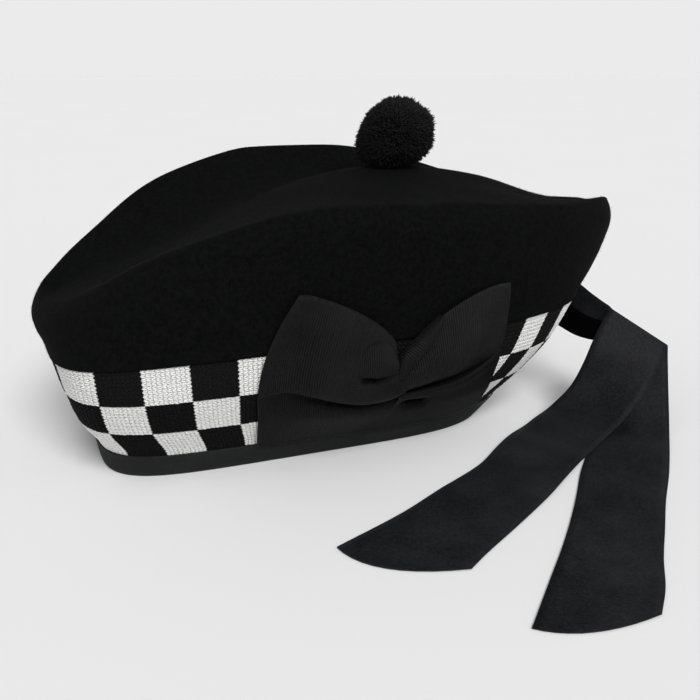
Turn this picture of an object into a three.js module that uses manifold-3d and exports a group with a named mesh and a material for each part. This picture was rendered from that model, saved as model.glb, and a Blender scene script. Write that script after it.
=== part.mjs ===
import * as THREE from 'three';
import { mergeVertices } from 'three/addons/utils/BufferGeometryUtils.js';
import Module from 'manifold-3d';

// A soft wool bonnet standing on its rim: front toward -Y, wearer's left toward +X, table at z = 0.
// Sizes are in millimetres.

const GAP = 0.3;
const AROUND = 96;
const CROWN_WALL = 2.6;
const BAND_WALL = 2.4;
const TRIM_WALL = 1.2;
const RIBBON_WALL = 1.0;
const HEIGHT_BLEND = 1.7;

const BINDING_HEIGHT = 12;
const SEAM_FOOT = 1.6;

const TOORIE_CENTRE = new THREE.Vector3(0, 63, 155.5);
const TOORIE_RADIUS = 18;
const TOORIE_FLATTEN = 0.86;
const LOCK_COUNT = 48;
const LOCK_LENGTH = 8;
const LOCK_ROOT = 6;
const LOCK_TIP = 3.6;
const LOCK_SIDES = 5;
const TOORIE_SEAT = 138.9;

const named = (columns, rows) =>
  rows.map((row) => Object.fromEntries(columns.map((key, i) => [key, row[i]])));

// Each row is a level loop round the hat: reach toward the front, back, left and right,
// height at those four places, and how square each quarter is (1 is an oval, less is squarer).
const RING_COLUMNS = ['front', 'back', 'left', 'right', 'zFront', 'zBack', 'zLeft', 'zRight',
  'leftFront', 'leftBack', 'rightFront', 'rightBack'];

const BAND_RINGS = named(RING_COLUMNS, [
  [111, 102, 61, 60, 0, 0, 0, 0, 0.36, 0.50, 1.00, 0.80],
  [112, 115, 65, 64, 12, 12, 12, 12, 0.38, 0.52, 1.00, 0.80],
  [118, 133, 75, 73, 27, 29, 28, 28, 0.42, 0.56, 1.00, 0.82],
  [123, 150, 82, 80, 42, 46, 45, 46, 0.46, 0.60, 1.00, 0.84],
  [127, 165, 85, 84, 58, 67, 64, 66, 0.50, 0.64, 1.00, 0.86],
]);

const CROWN_RINGS = named(RING_COLUMNS, [
  [127, 165, 85, 84, 58.3, 67.3, 64.3, 66.3, 0.50, 0.64, 1.00, 0.86],
  [130, 176, 88, 87, 64, 79, 84, 88, 0.60, 0.70, 1.02, 0.95],
  [132.5, 187, 90.5, 89, 69, 93, 106, 113, 0.72, 0.77, 1.06, 1.05],
  [132.5, 194.5, 91, 90, 74, 105, 123, 135, 0.84, 0.84, 1.10, 1.14],
  [128, 192.5, 86, 85, 79.5, 111.5, 129.5, 142, 0.87, 0.87, 1.12, 1.16],
]);

// The line along the middle of the top, from front to back.
const SPINE = named(['y', 'z'], [
  [-104, 88],
  [-70, 99],
  [-40, 112],
  [-15, 124],
  [10, 132.5],
  [35, 137],
  [64, 138.2],
  [90, 135.5],
  [114, 130],
  [138, 122],
  [160, 114.5],
  [180, 112],
]);
const TOP_STEPS = [0.93, 0.8, 0.6, 0.4, 0.2, 0];
const DIP_LEFT = 2.5;
const DIP_RIGHT = 13;

// Bow loops: points across each fold, given along the hat (y) and up (z), with the lift off the wall.
const LOOP_COLUMNS = ['yBottom', 'zBottom', 'yFold', 'zFold', 'yTop', 'zTop', 'lift'];
const LEFT_LOOP = named(LOOP_COLUMNS, [
  [27, 17, 27, 38, 26, 57, 2.2],
  [17, 15.5, 18, 37, 23, 71, 4.2],
  [2, 14.5, 4, 38.5, 12, 79.5, 10],
  [-16, 15, -12, 42.5, -6, 89, 10],
  [-30, 16, -27, 47, -18, 93, 7],
  [-38, 17, -41, 45, -23, 93.5, 2.2],
]);
const RIGHT_LOOP = named(LOOP_COLUMNS, [
  [40, 19, 38, 39, 36, 60, 2.2],
  [48, 20, 48, 39, 46, 74.5, 8],
  [60, 23, 61, 41, 61, 82, 10],
  [74, 27, 75, 47, 76, 86, 8],
  [86, 31, 88, 55, 88, 88.5, 2.2],
]);
const KNOT = named(LOOP_COLUMNS, [
  [22, 25, 21, 42, 22, 55, 7.4],
  [27, 21, 26, 41, 27, 58, 8.5],
  [34, 20, 33, 40, 33, 58, 8.5],
  [40, 24, 40, 40, 38, 57, 7.2],
]);
const FOLD_LIP = 0.3;
const KNOT_LIP = 0.18;
const EDGE_LIFT = 1.3;
const KNOT_EDGE_LIFT = 5.2;

// Ribbon strips: the two long edges, from the fold behind the hat to the free end on the table.
const EDGE_COLUMNS = ['xLeft', 'yLeft', 'zLeft', 'xRight', 'yRight', 'zRight'];
const TAIL_FRONT = named(EDGE_COLUMNS, [
  [62, 170, 60, 87, 193, 45],
  [67, 158, 46, 91, 186, 36],
  [68, 151, 31, 94, 178, 27],
  [66, 145, 17, 97, 168, 17],
  [64, 136, 7, 101, 154, 8],
  [68, 119, 2.6, 109, 135, 2.8],
  [85, 93, 1.9, 126, 108, 2.2],
  [106, 65, 0.9, 146, 79, 1.4],
  [121, 36, 0.7, 162, 53, 0.7],
  [136, 8, 0.7, 176, 30, 0.7],
  [150.5, -26, 0.7, 184, 18, 0.7],
]);
const TAIL_BACK = named(EDGE_COLUMNS, [
  [60.8, 171.4, 59, 85.8, 194.4, 44],
  [66, 163, 43, 90.5, 190, 34.5],
  [73, 160, 24, 97, 187, 20],
  [85, 152, 4.5, 113, 176, 5],
  [104, 133, 0.6, 142, 151.5, 0.6],
  [129, 109, 0.6, 169, 126, 0.6],
  [156, 86, 0.6, 187, 110, 0.6],
  [181, 63, 0.6, 206, 93, 0.6],
  [203, 41, 0.6, 222, 80, 0.6],
  [224, 20, 0.6, 234, 68, 0.6],
]);
const FOLD_STRIP = named(EDGE_COLUMNS, [
  [20, 151.6, 46.5, 18, 167.7, 69.5],
  [30, 159, 42, 29, 173, 68],
  [42, 164, 38.5, 42, 174.5, 65.5],
  [52, 167, 38.5, 53, 174, 63],
  [58.2, 168.5, 39.5, 60.0, 171.7, 60.4],
]);
const END_ROUND_FRONT = 10;
const END_ROUND_BACK = 6.5;
const END_STRAIGHT = 0;
const TAIL_STEPS = 26;
const FOLD_STEPS = 8;

const WOOL = new THREE.MeshStandardMaterial({ color: 0x15161a, roughness: 0.95 });
const CHECK = new THREE.MeshStandardMaterial({ color: 0x8c8c8a, roughness: 0.9 });
const GROSGRAIN = new THREE.MeshStandardMaterial({ color: 0x26272d, roughness: 0.75 });
const POMPOM = new THREE.MeshStandardMaterial({ color: 0x111114, roughness: 1.0 });

const signedPower = (value, power) => Math.sign(value) * Math.abs(value) ** power;
const lerp = THREE.MathUtils.lerp;

function ringPoint(ring, angle) {
  const across = Math.cos(angle);
  const along = Math.sin(angle);
  const quarter = (across > 0 ? 'left' : 'right') + (along > 0 ? 'Back' : 'Front');
  const square = ring[quarter];
  const side = across > 0 ? ring.left : ring.right;
  const reach = along > 0 ? ring.back : ring.front;
  const weight = Math.abs(along) ** HEIGHT_BLEND;
  const zSide = across > 0 ? ring.zLeft : ring.zRight;
  const zEnd = along > 0 ? ring.zBack : ring.zFront;
  return new THREE.Vector3(
    side * signedPower(across, square),
    reach * signedPower(along, square),
    lerp(zSide, zEnd, weight),
  );
}

// Half a loop from the front middle to the back middle, in steps of equal length.
function halfRing(ring, side, steps) {
  const fine = 400;
  const raw = [];
  for (let i = 0; i <= fine; i += 1) {
    raw.push(ringPoint(ring, -Math.PI / 2 + side * Math.PI * i / fine));
  }
  raw[0].x = 0;
  raw[fine].x = 0;
  const lengths = [0];
  for (let i = 1; i <= fine; i += 1) lengths.push(lengths[i - 1] + raw[i].distanceTo(raw[i - 1]));
  const points = [];
  let at = 0;
  for (let i = 0; i <= steps; i += 1) {
    const want = lengths[fine] * i / steps;
    while (at < fine - 1 && lengths[at + 1] < want) at += 1;
    const share = (want - lengths[at]) / (lengths[at + 1] - lengths[at]);
    points.push(raw[at].clone().lerp(raw[at + 1], share));
  }
  return points;
}

// A whole loop: up the left side from the front middle, then back along the right side.
function loop(ring) {
  const half = AROUND / 2;
  const left = halfRing(ring, 1, half);
  const right = halfRing(ring, -1, half);
  return [...left, ...right.slice(1, half).reverse()];
}

function spinePoint(share) {
  const y = lerp(SPINE[0].y, SPINE[SPINE.length - 1].y, share);
  let k = 0;
  while (k < SPINE.length - 2 && SPINE[k + 1].y < y) k += 1;
  const part = (y - SPINE[k].y) / (SPINE[k + 1].y - SPINE[k].y);
  return new THREE.Vector3(0, y, lerp(SPINE[k].z, SPINE[k + 1].z, part));
}

function topRows(rim) {
  const half = AROUND / 2;
  return TOP_STEPS.map((step) => rim.map((edge, i) => {
    const share = Math.min(i, AROUND - i) / half;
    const spine = spinePoint(share);
    const dip = (i < half ? DIP_LEFT : DIP_RIGHT) * Math.sin(Math.PI * share);
    const point = spine.clone().lerp(edge, step);
    point.z -= dip * Math.sin(Math.PI * step);
    return point;
  }));
}

// Inward copy of a grid of loops, set in by the wall.
function setIn(rows, wall) {
  return rows.map((row, r) => row.map((point, i) => {
    const ahead = row[(i + 1) % row.length];
    const behind = row[(i + row.length - 1) % row.length];
    const above = rows[Math.min(r + 1, rows.length - 1)][i];
    const below = rows[Math.max(r - 1, 0)][i];
    const normal = ahead.clone().sub(behind).cross(above.clone().sub(below)).normalize();
    return point.clone().addScaledVector(normal, -wall);
  }));
}

function solid(positions, faces) {
  const geometry = new THREE.BufferGeometry();
  geometry.setAttribute('position', new THREE.Float32BufferAttribute(positions.flatMap((p) => p.toArray()), 3));
  geometry.setIndex(faces.flat());
  const joined = mergeVertices(geometry, 1e-4);
  joined.computeVertexNormals();
  return joined;
}

// A closed skin through a list of loops that ends where it began.
function ringSolid(rows, closed) {
  const positions = rows.flat();
  const count = rows[0].length;
  const faces = [];
  const last = closed ? rows.length : rows.length - 1;
  for (let r = 0; r < last; r += 1) {
    for (let i = 0; i < count; i += 1) {
      const a = r * count + i;
      const b = r * count + (i + 1) % count;
      const c = ((r + 1) % rows.length) * count + (i + 1) % count;
      const d = ((r + 1) % rows.length) * count + i;
      faces.push([a, b, c], [a, c, d]);
    }
  }
  return solid(positions, faces);
}

function dropFlat(geometry) {
  const index = geometry.getIndex().array;
  const kept = [];
  for (let f = 0; f < index.length; f += 3) {
    const [a, b, c] = [index[f], index[f + 1], index[f + 2]];
    if (a !== b && b !== c && a !== c) kept.push(a, b, c);
  }
  geometry.setIndex(kept);
  return geometry;
}

function crown() {
  const wall = CROWN_RINGS.map(loop);
  const rim = wall[wall.length - 1];
  const outer = [...wall, ...topRows(rim)];
  const inner = setIn(outer, CROWN_WALL);
  inner[inner.length - 1] = outer[outer.length - 1].map((p) => p.clone().setZ(p.z - CROWN_WALL));
  return dropFlat(ringSolid([...inner.reverse(), ...outer], false));
}

// A loop moved level outward, or inward where the distance is below zero.
function widen(row, distance) {
  return row.map((point, i) => {
    const ahead = row[(i + 1) % row.length];
    const behind = row[(i + row.length - 1) % row.length];
    const along = ahead.clone().sub(behind).setZ(0).normalize();
    return point.clone().add(new THREE.Vector3(along.y, -along.x, 0).multiplyScalar(distance));
  });
}

const bandLoops = BAND_RINGS.map(loop);
const mixLoops = (low, high, share) => low.map((point, i) => point.clone().lerp(high[i], share));

function band() {
  const foot = mixLoops(bandLoops[0], bandLoops[1], SEAM_FOOT / BINDING_HEIGHT);
  const outer = [foot, ...bandLoops.slice(1)];
  const inner = outer.map((row) => widen(row, -BAND_WALL));
  return ringSolid([...inner.reverse(), ...outer], true);
}

function binding() {
  const [foot, top] = bandLoops;
  const floor = mixLoops(foot, top, (SEAM_FOOT - GAP) / BINDING_HEIGHT);
  const outside = GAP + TRIM_WALL;
  const channel = -(BAND_WALL + GAP);
  const inside = channel - TRIM_WALL;
  return ringSolid([
    widen(foot, inside),
    widen(foot, outside),
    widen(top, outside),
    widen(top, GAP),
    widen(floor, GAP),
    widen(floor, channel),
    widen(top, channel),
    widen(top, inside),
  ], true);
}

// A thin closed sheet round a grid of middle points.
function sheet(grid, wall) {
  const rows = grid.length;
  const columns = grid[0].length;
  const at = (i, j) => grid[THREE.MathUtils.clamp(i, 0, rows - 1)][THREE.MathUtils.clamp(j, 0, columns - 1)];
  const faceUp = [];
  const faceDown = [];
  for (let i = 0; i < rows; i += 1) {
    for (let j = 0; j < columns; j += 1) {
      const along = at(i + 1, j).clone().sub(at(i - 1, j));
      const across = at(i, j + 1).clone().sub(at(i, j - 1));
      const normal = along.cross(across).normalize();
      faceUp.push(grid[i][j].clone().addScaledVector(normal, wall / 2));
      faceDown.push(grid[i][j].clone().addScaledVector(normal, -wall / 2));
    }
  }
  const total = rows * columns;
  const faces = [];
  const quad = (a, b, c, d) => faces.push([a, b, c], [a, c, d]);
  for (let i = 0; i < rows - 1; i += 1) {
    for (let j = 0; j < columns - 1; j += 1) {
      const a = i * columns + j;
      const b = a + columns;
      quad(a, b, b + 1, a + 1);
      quad(total + a, total + a + 1, total + b + 1, total + b);
    }
    const head = i * columns;
    const tail = head + columns - 1;
    quad(head, total + head, total + head + columns, head + columns);
    quad(tail, tail + columns, total + tail + columns, total + tail);
  }
  for (let j = 0; j < columns - 1; j += 1) {
    const end = (rows - 1) * columns + j;
    quad(j, j + 1, total + j + 1, total + j);
    quad(end, total + end, total + end + 1, end + 1);
  }
  return solid([...faceUp, ...faceDown], faces);
}

// How far the left wall stands out at a place along the hat and up it.
const WALL_LEVELS = [...BAND_RINGS, ...CROWN_RINGS.slice(1, 4)].map((ring) => halfRing(ring, 1, 120));
function leftWall(y, z) {
  const cut = WALL_LEVELS.map((row) => {
    let k = 0;
    while (k < row.length - 2 && row[k + 1].y < y) k += 1;
    const share = THREE.MathUtils.clamp((y - row[k].y) / (row[k + 1].y - row[k].y), 0, 1);
    return row[k].clone().lerp(row[k + 1], share);
  });
  let k = 0;
  while (k < cut.length - 2 && cut[k + 1].z < z) k += 1;
  const share = THREE.MathUtils.clamp((z - cut[k].z) / (cut[k + 1].z - cut[k].z), 0, 1);
  return lerp(cut[k].x, cut[k + 1].x, share);
}

const onWall = (y, z, lift) => new THREE.Vector3(leftWall(y, z) + lift, y, z);

// One bow fold: flat along its bottom, a lip rolled over the fold line, then a crowned upper face.
function bowFold(table, lipShare, edgeLift) {
  const curveOf = (key) => new THREE.CatmullRomCurve3(
    table.map((row, i) => new THREE.Vector3(row[key], i, 0)), false, 'catmullrom', 0.5);
  const curves = Object.fromEntries(LOOP_COLUMNS.map((key) => [key, curveOf(key)]));
  const steps = (table.length - 1) * 2;
  const grid = [];
  for (let i = 0; i <= steps; i += 1) {
    const value = Object.fromEntries(LOOP_COLUMNS.map((key) => [key, curves[key].getPoint(i / steps).x]));
    const edge = Math.min(edgeLift, value.lift);
    const lip = lipShare * value.lift;
    const across = [
      [0, 0, edge],
      [0, 0.5, lerp(edge, value.lift, 0.35)],
      [0, 0.9, lerp(edge, value.lift, 0.55)],
      [0, 1, value.lift + lip],
      [0.3, 1, value.lift + lip * 0.6],
      [0.65, 1, value.lift],
      [1, 1, lerp(edge, value.lift, 0.6)],
    ];
    grid.push(across.map(([upper, lower, lift]) => {
      const yLow = lerp(value.yBottom, value.yFold, lower);
      const zLow = lerp(value.zBottom, value.zFold, lower);
      return onWall(lerp(yLow, value.yTop, upper), lerp(zLow, value.zTop, upper), lift);
    }));
  }
  return sheet(grid, TRIM_WALL);
}

function strip(table, steps, endRound) {
  const left = new THREE.CatmullRomCurve3(
    table.map((row) => new THREE.Vector3(row.xLeft, row.yLeft, row.zLeft)), false, 'centripetal');
  const right = new THREE.CatmullRomCurve3(
    table.map((row) => new THREE.Vector3(row.xRight, row.yRight, row.zRight)), false, 'centripetal');
  const grid = [];
  for (let i = 0; i <= steps; i += 1) {
    const a = left.getPoint(i / steps);
    const b = right.getPoint(i / steps);
    grid.push([a, a.clone().lerp(b, 0.5), b]);
  }
  const last = grid[steps][1];
  last.addScaledVector(last.clone().sub(grid[steps - 1][1]).normalize(), endRound);
  return sheet(grid, RIBBON_WALL);
}

const wasm = await Module();
wasm.setup();

function toManifold(geometry) {
  const bare = geometry.clone();
  bare.deleteAttribute('normal');
  bare.deleteAttribute('uv');
  const joined = mergeVertices(bare, 1e-4);
  return new wasm.Manifold(new wasm.Mesh({
    numProp: 3,
    vertProperties: new Float32Array(joined.getAttribute('position').array),
    triVerts: new Uint32Array(joined.getIndex().array),
  }));
}

function fromManifold(body) {
  const mesh = body.getMesh();
  const geometry = new THREE.BufferGeometry();
  geometry.setAttribute('position', new THREE.Float32BufferAttribute(Array.from(mesh.vertProperties), 3));
  geometry.setIndex(Array.from(mesh.triVerts));
  geometry.computeVertexNormals();
  return geometry;
}

// The pompom: a ball with short blunt locks standing out of it all round, flat where it is sewn on.
function toorie() {
  let body = toManifold(new THREE.SphereGeometry(TOORIE_RADIUS, 16, 10));
  const turn = Math.PI * (3 - Math.sqrt(5));
  const up = new THREE.Vector3(0, 1, 0);
  for (let i = 0; i < LOCK_COUNT; i += 1) {
    const height = 1 - 2 * (i + 0.5) / LOCK_COUNT;
    const spread = Math.sqrt(1 - height * height);
    const way = new THREE.Vector3(spread * Math.cos(turn * i), spread * Math.sin(turn * i), height);
    const lock = new THREE.CylinderGeometry(LOCK_TIP, LOCK_ROOT, LOCK_LENGTH, LOCK_SIDES, 1);
    const reach = TOORIE_RADIUS + LOCK_LENGTH * 0.3;
    lock.applyQuaternion(new THREE.Quaternion().setFromUnitVectors(up, way));
    lock.translate(way.x * reach, way.y * reach, way.z * reach);
    body = body.add(toManifold(lock));
  }
  const geometry = fromManifold(body);
  geometry.scale(1, 1, TOORIE_FLATTEN);
  geometry.translate(TOORIE_CENTRE.x, TOORIE_CENTRE.y, TOORIE_CENTRE.z);
  const seat = new THREE.BoxGeometry(120, 120, 40);
  seat.translate(TOORIE_CENTRE.x, TOORIE_CENTRE.y, TOORIE_SEAT - 20);
  return fromManifold(toManifold(geometry).subtract(toManifold(seat)));
}

const hat = new THREE.Group();
hat.name = 'diced_bonnet';
function piece(name, geometry, material) {
  const mesh = new THREE.Mesh(geometry, material);
  mesh.name = name;
  hat.add(mesh);
}

piece('crown', crown(), WOOL);
piece('diced_band', band(), CHECK);
piece('binding', binding(), GROSGRAIN);
piece('bow_left_loop', bowFold(LEFT_LOOP, FOLD_LIP, EDGE_LIFT), GROSGRAIN);
piece('bow_right_loop', bowFold(RIGHT_LOOP, FOLD_LIP, EDGE_LIFT), GROSGRAIN);
piece('bow_knot', bowFold(KNOT, KNOT_LIP, KNOT_EDGE_LIFT), GROSGRAIN);
piece('toorie', toorie(), POMPOM);
piece('ribbon_fold', strip(FOLD_STRIP, FOLD_STEPS, END_STRAIGHT), GROSGRAIN);
piece('ribbon_tail_front', strip(TAIL_FRONT, TAIL_STEPS, END_ROUND_FRONT), GROSGRAIN);
piece('ribbon_tail_back', strip(TAIL_BACK, TAIL_STEPS, END_ROUND_BACK), GROSGRAIN);

export default hat;
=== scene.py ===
"""Looks for a black wool bonnet: felted crown, diced knit band, bound edge, ribbon bow, pompom and tails.

The hat stands on its rim with the front toward -Y and the wearer's left toward +X.
Tables are in millimetres; MM turns them into the frame's metres.
"""

import math

import bpy
import numpy as np
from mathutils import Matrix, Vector


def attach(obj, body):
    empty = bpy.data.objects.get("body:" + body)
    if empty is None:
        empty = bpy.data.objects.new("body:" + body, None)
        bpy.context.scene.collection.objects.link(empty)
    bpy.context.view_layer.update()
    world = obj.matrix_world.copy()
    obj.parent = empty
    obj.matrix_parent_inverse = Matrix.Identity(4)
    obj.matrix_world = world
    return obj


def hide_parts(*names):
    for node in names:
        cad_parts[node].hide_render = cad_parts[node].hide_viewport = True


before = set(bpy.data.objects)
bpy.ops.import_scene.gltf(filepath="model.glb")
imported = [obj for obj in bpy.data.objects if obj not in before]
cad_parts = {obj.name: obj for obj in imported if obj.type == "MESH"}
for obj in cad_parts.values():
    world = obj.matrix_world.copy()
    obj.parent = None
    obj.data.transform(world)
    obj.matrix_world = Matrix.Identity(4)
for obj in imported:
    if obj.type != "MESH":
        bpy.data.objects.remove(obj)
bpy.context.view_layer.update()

MM = 0.001
AROUND = 480
RING_SAMPLES = 1601
HEIGHT_BLEND = 1.7
BINDING_HEIGHT = 12.0
SEAM_FOOT = 1.6
TRIANGLE = (0, 2 * math.pi / 3, 4 * math.pi / 3)
NOISE_WAVES = 7
NOISE_PEAK = 4

# Each row is a level loop round the hat: reach toward the front, back, left and right, height at
# those places, and how square each quarter is (1 is an oval, less is squarer).
RING_COLUMNS = ("front", "back", "left", "right", "z_front", "z_back", "z_left", "z_right",
                "left_front", "left_back", "right_front", "right_back")
BAND_RINGS = (
    (107, 102, 61, 60, 0, 0, 0, 0, 0.36, 0.50, 1.00, 0.80),
    (109, 115, 65, 64, 12, 12, 12, 12, 0.38, 0.52, 1.00, 0.80),
    (118, 133, 75, 73, 27, 29, 28, 28, 0.42, 0.56, 1.00, 0.82),
    (123, 150, 82, 80, 42, 46, 45, 46, 0.46, 0.60, 1.00, 0.84),
    (127, 165, 85, 84, 58, 67, 64, 66, 0.50, 0.64, 1.00, 0.86),
)
CROWN_RINGS = (
    (127, 165, 85, 84, 58.3, 67.3, 64.3, 66.3, 0.50, 0.64, 1.00, 0.86),
    (130, 176, 88, 87, 64, 79, 84, 88, 0.60, 0.70, 1.02, 0.95),
    (132.5, 187, 90.5, 89, 69, 93, 106, 113, 0.72, 0.77, 1.06, 1.05),
    (132.5, 194.5, 91, 90, 74, 105, 123, 135, 0.84, 0.84, 1.10, 1.14),
    (128, 192.5, 86, 85, 79.5, 111.5, 129.5, 142, 0.87, 0.87, 1.12, 1.16),
)
# The line along the middle of the top, from front to back: y, z.
SPINE = ((-104, 88), (-70, 99), (-40, 112), (-15, 124), (10, 132.5), (35, 137), (64, 138.2),
         (90, 135.5), (114, 130), (138, 122), (160, 114.5), (180, 112))
DIP_LEFT = 2.5
DIP_RIGHT = 16.0


# Shape helpers

def even(points, count):
    """The same line as count steps of equal length."""
    lengths = np.concatenate([[0], np.cumsum(np.linalg.norm(np.diff(points, axis=0), axis=1))])
    want = np.linspace(0, lengths[-1], count + 1)
    return np.stack([np.interp(want, lengths, points[:, k]) for k in range(3)], axis=1)


def half_ring(ring, side, count):
    """From the front middle to the back middle along one side."""
    row = dict(zip(RING_COLUMNS, ring))
    name = "left" if side > 0 else "right"
    angle = math.pi * (np.linspace(0, 1, RING_SAMPLES) - 0.5)
    across = np.cos(angle).clip(0)
    along = np.sin(angle)
    square = np.where(along > 0, row[name + "_back"], row[name + "_front"])
    reach = np.where(along > 0, row["back"], row["front"])
    z_end = np.where(along > 0, row["z_back"], row["z_front"])
    weight = np.abs(along) ** HEIGHT_BLEND
    points = np.stack([
        side * row[name] * across ** square,
        reach * np.sign(along) * np.abs(along) ** square,
        row["z_" + name] * (1 - weight) + z_end * weight,
    ], axis=1)
    points[[0, -1], 0] = 0
    return even(points, count)


def loop(ring, count=AROUND):
    """A whole loop: up the left side from the front middle, then back along the right side."""
    left = half_ring(ring, 1, count // 2)
    right = half_ring(ring, -1, count // 2)
    return np.concatenate([left, right[-2:0:-1]])


def loft(rows, levels):
    """Smooth rows between the given ones; a level is counted in rows."""
    rows = np.asarray(rows, dtype=float)
    span = np.linalg.norm(np.diff(rows, axis=0), axis=2).mean(axis=1).clip(1e-6)[:, None, None]
    slope = np.diff(rows, axis=0) / span
    tangent = np.concatenate([slope[:1], slope])
    tangent[1:-1] = (slope[:-1] * span[1:] + slope[1:] * span[:-1]) / (span[1:] + span[:-1])
    base = np.clip(np.floor(levels).astype(int), 0, len(rows) - 2)
    t = (np.asarray(levels) - base)[:, None, None]
    lead = tangent[base] * span[base]
    trail = tangent[base + 1] * span[base]
    return ((2 * t**3 - 3 * t**2 + 1) * rows[base] + (t**3 - 2 * t**2 + t) * lead
            + (3 * t**2 - 2 * t**3) * rows[base + 1] + (t**3 - t**2) * trail)


def finer_rows(keys, count):
    """A grid with that many rows through the key rows."""
    return loft(np.array(keys), np.linspace(0, len(keys) - 1, count))


def finer_columns(grid, count):
    """A grid with that many columns through the given ones."""
    return finer_rows(grid.swapaxes(0, 1), count).swapaxes(0, 1)


def named_columns(table, names):
    """The table's columns by name."""
    return dict(zip(names, np.array(table, dtype=float).T))


def smooth_line(values, rounds, wrap=False):
    """Evens out neighbours along the first axis; the two ends stay put unless it wraps."""
    values = values.copy()
    for _ in range(rounds):
        if wrap:
            values = (np.roll(values, 1, 0) + 2 * values + np.roll(values, -1, 0)) / 4
        else:
            values[1:-1] = (values[:-2] + 2 * values[1:-1] + values[2:]) / 4
    return values


def unit(vectors):
    return vectors / np.linalg.norm(vectors, axis=-1, keepdims=True).clip(1e-9)


def normals_of(grid, wrap):
    """Unit normals of a grid whose rows run round the hat or across a ribbon."""
    if wrap:
        along = np.roll(grid, -1, 1) - np.roll(grid, 1, 1)
    else:
        along = np.gradient(grid, axis=1)
    return unit(np.cross(along, np.gradient(grid, axis=0)))


def widen(row, distance):
    """A loop moved level outward."""
    along = np.roll(row, -1, 0) - np.roll(row, 1, 0)
    out = unit(np.stack([along[:, 1], -along[:, 0], 0 * along[:, 0]], axis=1))
    return row + out * np.asarray(distance)[..., None]


def soft_noise(points, size, seed):
    """A gentle wave field of about that size, mostly from -1 to 1."""
    draw = np.random.default_rng(seed)
    total = 0
    for _ in range(NOISE_WAVES):
        way = unit(draw.normal(size=3)) * 2 * math.pi / size * draw.uniform(0.6, 1.4)
        total = total + np.sin(points @ way + draw.uniform(0, 2 * math.pi))
    return total / NOISE_PEAK


# Mesh helpers

def make_piece(name, points, faces, materials, face_slots=None):
    """A shaded mesh from millimetre points; faces all have the same number of corners."""
    faces = np.asarray(faces, dtype=np.int32)
    starts = np.arange(0, faces.size, faces.shape[1], dtype=np.int32)
    mesh = bpy.data.meshes.new(name)
    mesh.vertices.add(len(points))
    mesh.vertices.foreach_set("co", (np.asarray(points) * MM).astype(np.float32).ravel())
    mesh.loops.add(faces.size)
    mesh.loops.foreach_set("vertex_index", faces.ravel())
    mesh.polygons.add(len(faces))
    mesh.polygons.foreach_set("loop_start", starts)
    mesh.polygons.foreach_set("use_smooth", np.ones(len(faces), dtype=bool))
    for material in materials:
        mesh.materials.append(material)
    if face_slots is not None:
        mesh.polygons.foreach_set("material_index", np.asarray(face_slots, dtype=np.int32))
    mesh.update(calc_edges=True)
    mesh.validate()
    piece = bpy.data.objects.new(name, mesh)
    bpy.context.scene.collection.objects.link(piece)
    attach(piece, "root")
    return piece


def grid_faces(index, wrap):
    """Quads over a grid of vertex numbers; wrap joins the last column to the first."""
    if wrap:
        index = np.concatenate([index, index[:, :1]], axis=1)
    corners = [index[:-1, :-1], index[:-1, 1:], index[1:, 1:], index[1:, :-1]]
    return np.stack(corners, axis=-1).reshape(-1, 4)


def sheet_piece(name, grid, wall, materials, cell_slots=0):
    """A thin closed sheet round a grid of middle points; each cell takes the material of its slot."""
    normal = normals_of(grid, False)
    front = grid + normal * wall / 2
    back = grid - normal * wall / 2
    rows, columns = grid.shape[:2]
    index = np.arange(rows * columns).reshape(rows, columns)
    under = index + rows * columns
    rim = np.concatenate([index[0, :], index[1:, -1], index[-1, -2::-1], index[-2:0:-1, 0]])
    below = rim + rows * columns
    sides = np.stack([rim, below, np.roll(below, -1), np.roll(rim, -1)], axis=1)
    faces = np.concatenate([grid_faces(index, False), grid_faces(under, False)[:, ::-1], sides])
    points = np.concatenate([front.reshape(-1, 3), back.reshape(-1, 3)])
    slots = np.zeros(len(faces), dtype=int)
    cells = np.broadcast_to(cell_slots, (rows - 1, columns - 1)).ravel()
    slots[:len(faces) - len(sides)] = np.concatenate([cells, cells])
    return make_piece(name, points, faces, materials, slots)


def prong(middle, side, other, width):
    """The three corners of a slim strand round its middle points."""
    return [middle + width * (math.cos(a) * side + math.sin(a) * other) for a in TRIANGLE]


def repeated(pattern, corners, count):
    """A small face pattern, in vertex numbers, for each of count equal forms."""
    return (corners * np.arange(count)[:, None, None] + np.array(pattern)).reshape(-1, 3)


SPIKE_FACES = ((0, 1, 3), (1, 2, 3), (2, 0, 3))


def fibres(name, roots, ways, lengths, width, material, bend, seed):
    """Short hairs, each a slim three-sided spike that leans over toward its tip."""
    draw = np.random.default_rng(seed)
    count = len(roots)
    side = unit(np.cross(ways, draw.normal(size=(count, 3))))
    other = unit(np.cross(ways, side))
    tips = roots + (ways + side * draw.normal(size=(count, 1)) * bend) * lengths[:, None]
    points = np.stack([*prong(roots, side, other, width), tips], axis=1)
    faces = repeated(SPIKE_FACES, points.shape[1], count)
    return make_piece(name, points.reshape(-1, 3), faces, [material])


# Materials

def shader(name, roughness, specular):
    material = bpy.data.materials.new(name)
    material.use_nodes = True
    body = material.node_tree.nodes["Principled BSDF"]
    body.inputs["Roughness"].default_value = roughness
    body.inputs["Specular IOR Level"].default_value = specular
    return material, material.node_tree, body


def noise(tree, scale, detail, roughness):
    place = tree.nodes.new("ShaderNodeTexCoord")
    node = tree.nodes.new("ShaderNodeTexNoise")
    node.inputs["Scale"].default_value = scale
    node.inputs["Detail"].default_value = detail
    node.inputs["Roughness"].default_value = roughness
    tree.links.new(place.outputs["Object"], node.inputs["Vector"])
    return node.outputs["Fac"]


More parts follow.
